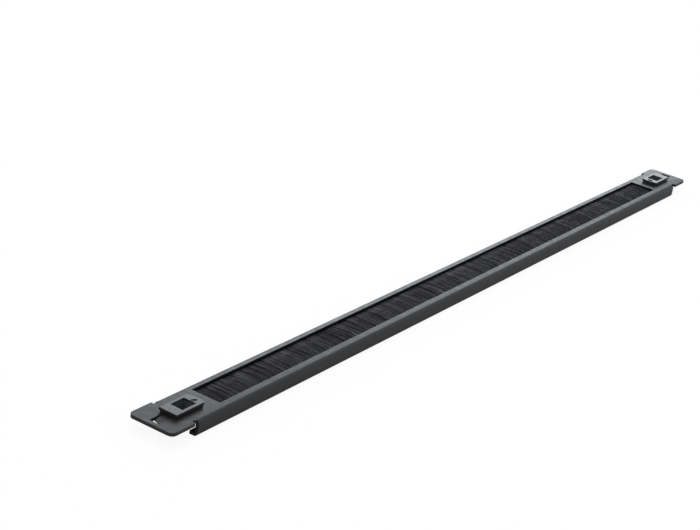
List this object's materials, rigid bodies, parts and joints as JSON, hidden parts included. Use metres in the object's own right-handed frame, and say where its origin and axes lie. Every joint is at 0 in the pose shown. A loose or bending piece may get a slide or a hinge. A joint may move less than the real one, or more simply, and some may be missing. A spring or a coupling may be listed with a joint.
{
  "type": "rack brush strip panel",
  "caption": "Flat folded-steel brush strip panel for a 19 inch rack, with a bristle-filled cable window and a snap clip at each end.",
  "frame": {"origin": "middle of the panel, at the level of the outer faces of the two return lips that it lies on", "axes": "+X along the panel to the right ear as seen from the front, +Y across it away from the brush holder, +Z out of the front face"},
  "size_m": [0.4826, 0.022, 0.0093],
  "materials": {
    "powder_coated_steel": "semi-matt black powder coat on folded sheet steel",
    "galvanised_steel": "dull galvanised strip",
    "steel_wire": "drawn wire",
    "nylon_bristle": "black nylon bristle with a soft sheen",
    "moulded_plastic": "satin black injection moulding"
  },
  "bodies": {
    "root": {"panel": "powder_coated_steel", "brush_holder": "galvanised_steel", "core_wire": "steel_wire", "bristles": "nylon_bristle", "clip_left": "moulded_plastic", "clip_right": "moulded_plastic"}
  },
  "joints": []
}
